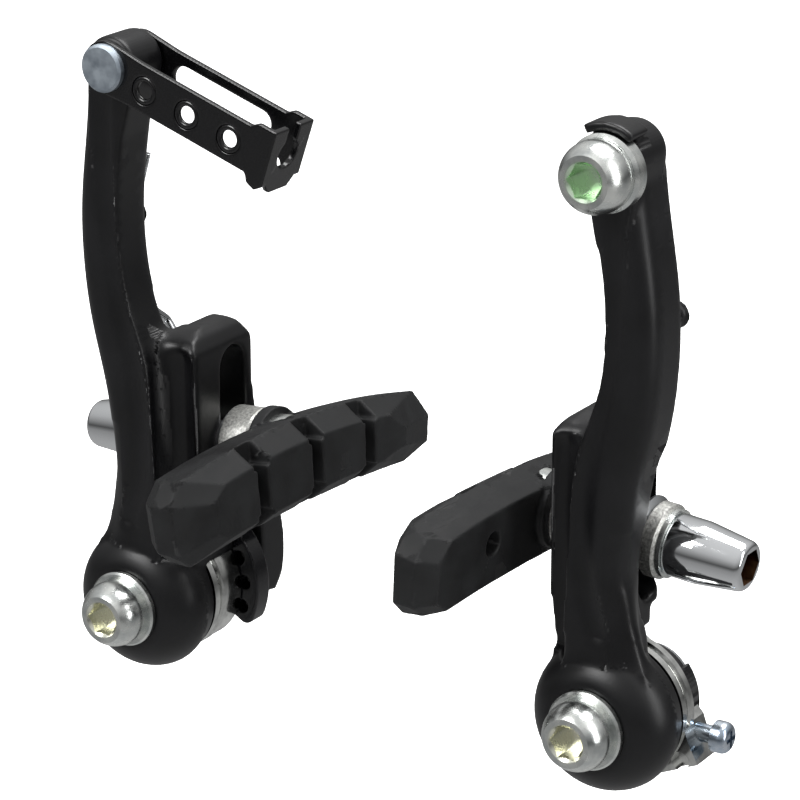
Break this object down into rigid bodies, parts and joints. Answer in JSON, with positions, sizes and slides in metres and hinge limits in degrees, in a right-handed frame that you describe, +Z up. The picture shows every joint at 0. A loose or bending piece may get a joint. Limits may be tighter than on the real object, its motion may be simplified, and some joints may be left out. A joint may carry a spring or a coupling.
{
  "type": "linear-pull bicycle rim brake",
  "caption": "Pair of upright rim brake arms on pivot sleeves, with slotted pad mounts, return springs, a hinged keyhole link and a cable anchor.",
  "frame": {"origin": "midway between the two frame bosses, in the plane of their seats", "axes": "+X to the viewer's right, from the link arm to the anchor arm; +Y back towards the frame, along the bosses; +Z up along the arms"},
  "size_m": [0.1223, 0.0729, 0.1065],
  "materials": {
    "arm_paint": "satin black stoving paint on forged aluminium",
    "bearing_steel": "turned steel",
    "bolt_zinc": "bright zinc plate",
    "washer_zinc": "bright zinc plate",
    "spring_steel": "drawn spring wire",
    "cap_plastic": "glossy black moulding",
    "ring_casting": "polished die casting",
    "screw_zinc": "bluish zinc plate",
    "dome_steel": "turned steel",
    "cup_steel": "blasted silver",
    "nut_chrome": "polished chrome",
    "pad_rubber": "matt dark grey rubber",
    "link_black": "semi-gloss black on stamped steel",
    "rivet_zinc": "dull zinc"
  },
  "bodies": {
    "boss_hardware": {"left_pivot_sleeve": "bearing_steel", "right_pivot_sleeve": "bearing_steel", "left_mounting_bolt": "bolt_zinc", "right_mounting_bolt": "bolt_zinc", "left_mounting_washer": "washer_zinc", "right_mounting_washer": "washer_zinc", "left_tension_ring": "ring_casting", "right_tension_ring": "ring_casting", "left_spring_cap": "cap_plastic", "right_spring_cap": "cap_plastic"},
    "left_arm": {"left_arm": "arm_paint", "left_return_spring": "spring_steel"},
    "left_tension_screw": {"left_tension_screw": "screw_zinc"},
    "left_pad_height": {"left_inner_dome_washer": "dome_steel", "left_outer_dome_washer": "dome_steel"},
    "left_pad_toe": {"left_inner_cup_washer": "cup_steel", "left_outer_cup_washer": "cup_steel", "left_flat_washer": "washer_zinc", "left_pad_nut": "nut_chrome"},
    "left_pad_roll": {"left_pad_stud": "bolt_zinc", "left_brake_pad": "pad_rubber"},
    "right_arm": {"right_arm": "arm_paint", "right_return_spring": "spring_steel"},
    "right_tension_screw": {"right_tension_screw": "screw_zinc"},
    "right_pad_height": {"right_inner_dome_washer": "dome_steel", "right_outer_dome_washer": "dome_steel"},
    "right_pad_toe": {"right_inner_cup_washer": "cup_steel", "right_outer_cup_washer": "cup_steel", "right_flat_washer": "washer_zinc", "right_pad_nut": "nut_chrome"},
    "right_pad_roll": {"right_pad_stud": "bolt_zinc", "right_brake_pad": "pad_rubber"},
    "link": {"noodle_link": "link_black", "link_rivet": "rivet_zinc"},
    "cable_anchor": {"cable_anchor_bolt": "bolt_zinc", "cable_anchor_washer": "washer_zinc"}
  },
  "joints": [
    {"name": "left_arm_swing", "type": "hinge", "parent": "boss_hardware", "child": "left_arm", "pos_m": [-0.0433, 0, 0], "axis": [0, 1, 0], "range_deg": [-25, 12], "stiffness_Nm_per_rad": 0.6},
    {"name": "left_tension_screw_turn", "type": "hinge", "parent": "boss_hardware", "child": "left_tension_screw", "pos_m": [-0.0553, -0.0069, -0.0032], "axis": [-1, 0, 0], "range_deg": [-720, 720]},
    {"name": "left_pad_height_slide", "type": "slide", "parent": "left_arm", "child": "left_pad_height", "axis": [0, 0, 1], "range_m": [-0.005, 0.013]},
    {"name": "left_pad_toe_swing", "type": "hinge", "parent": "left_pad_height", "child": "left_pad_toe", "pos_m": [-0.0386, -0.0051, 0.0256], "axis": [0, 0, -1], "range_deg": [-4, 4]},
    {"name": "left_pad_roll", "type": "hinge", "parent": "left_pad_toe", "child": "left_pad_roll", "pos_m": [-0.0386, -0.0051, 0.0256], "axis": [0.9963, 0, 0.0854], "range_deg": [-12, 12]},
    {"name": "right_arm_swing", "type": "hinge", "parent": "boss_hardware", "child": "right_arm", "pos_m": [0.0433, 0, 0], "axis": [0, -1, 0], "range_deg": [-25, 12], "stiffness_Nm_per_rad": 0.6},
    {"name": "right_tension_screw_turn", "type": "hinge", "parent": "boss_hardware", "child": "right_tension_screw", "pos_m": [0.0553, -0.0069, -0.0032], "axis": [1, 0, 0], "range_deg": [-720, 720]},
    {"name": "right_pad_height_slide", "type": "slide", "parent": "right_arm", "child": "right_pad_height", "axis": [0, 0, 1], "range_m": [-0.0058, 0.0122]},
    {"name": "right_pad_toe_swing", "type": "hinge", "parent": "right_pad_height", "child": "right_pad_toe", "pos_m": [0.0386, -0.0051, 0.0264], "axis": [0, 0, 1], "range_deg": [-4, 4]},
    {"name": "right_pad_roll", "type": "hinge", "parent": "right_pad_toe", "child": "right_pad_roll", "pos_m": [0.0386, -0.0051, 0.0264], "axis": [-0.9963, 0, 0.0854], "range_deg": [-12, 12]},
    {"name": "link_swing", "type": "hinge", "parent": "left_arm", "child": "link", "pos_m": [-0.0447, -0.0158, 0.0898], "axis": [0, 1, 0], "range_deg": [-180, 24]},
    {"name": "cable_anchor_lift", "type": "slide", "parent": "right_arm", "child": "cable_anchor", "axis": [0, -1, 0], "range_m": [0, 0.002]}
  ]
}
